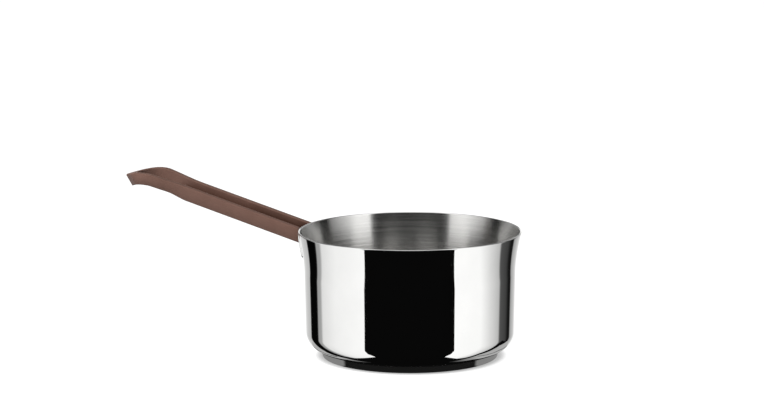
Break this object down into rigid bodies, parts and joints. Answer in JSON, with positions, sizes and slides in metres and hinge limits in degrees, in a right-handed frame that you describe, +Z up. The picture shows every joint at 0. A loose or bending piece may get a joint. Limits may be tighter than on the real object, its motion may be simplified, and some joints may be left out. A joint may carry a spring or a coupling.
{
  "type": "saucepan",
  "caption": "Polished steel saucepan with a flared lip, a capsule base and a long brown grooved handle that rises to a pointed hanging eye.",
  "frame": {"origin": "centre of the base's flat underside, on the pan's axis", "axes": "+Z up along the pan's axis, -X along the handle away from the pan, the part is the same on both sides of the XZ plane"},
  "size_m": [0.3131, 0.1646, 0.1265],
  "materials": {
    "polished_steel": "mirror polished outside, satin turned inside",
    "aluminium_core": "plain rolled, sealed in the base",
    "base_steel": "polished side, turned underside",
    "bracket_steel": "polished",
    "handle_brown": "satin brown metallic coat on cast steel",
    "rivet_steel": "polished"
  },
  "bodies": {
    "root": {"pan_body": "polished_steel", "heat_spreader_disc": "aluminium_core", "base_cap": "base_steel", "handle_bracket": "bracket_steel", "handle": "handle_brown", "handle_rivet_inner": "rivet_steel", "handle_rivet_outer": "rivet_steel"}
  },
  "joints": []
}
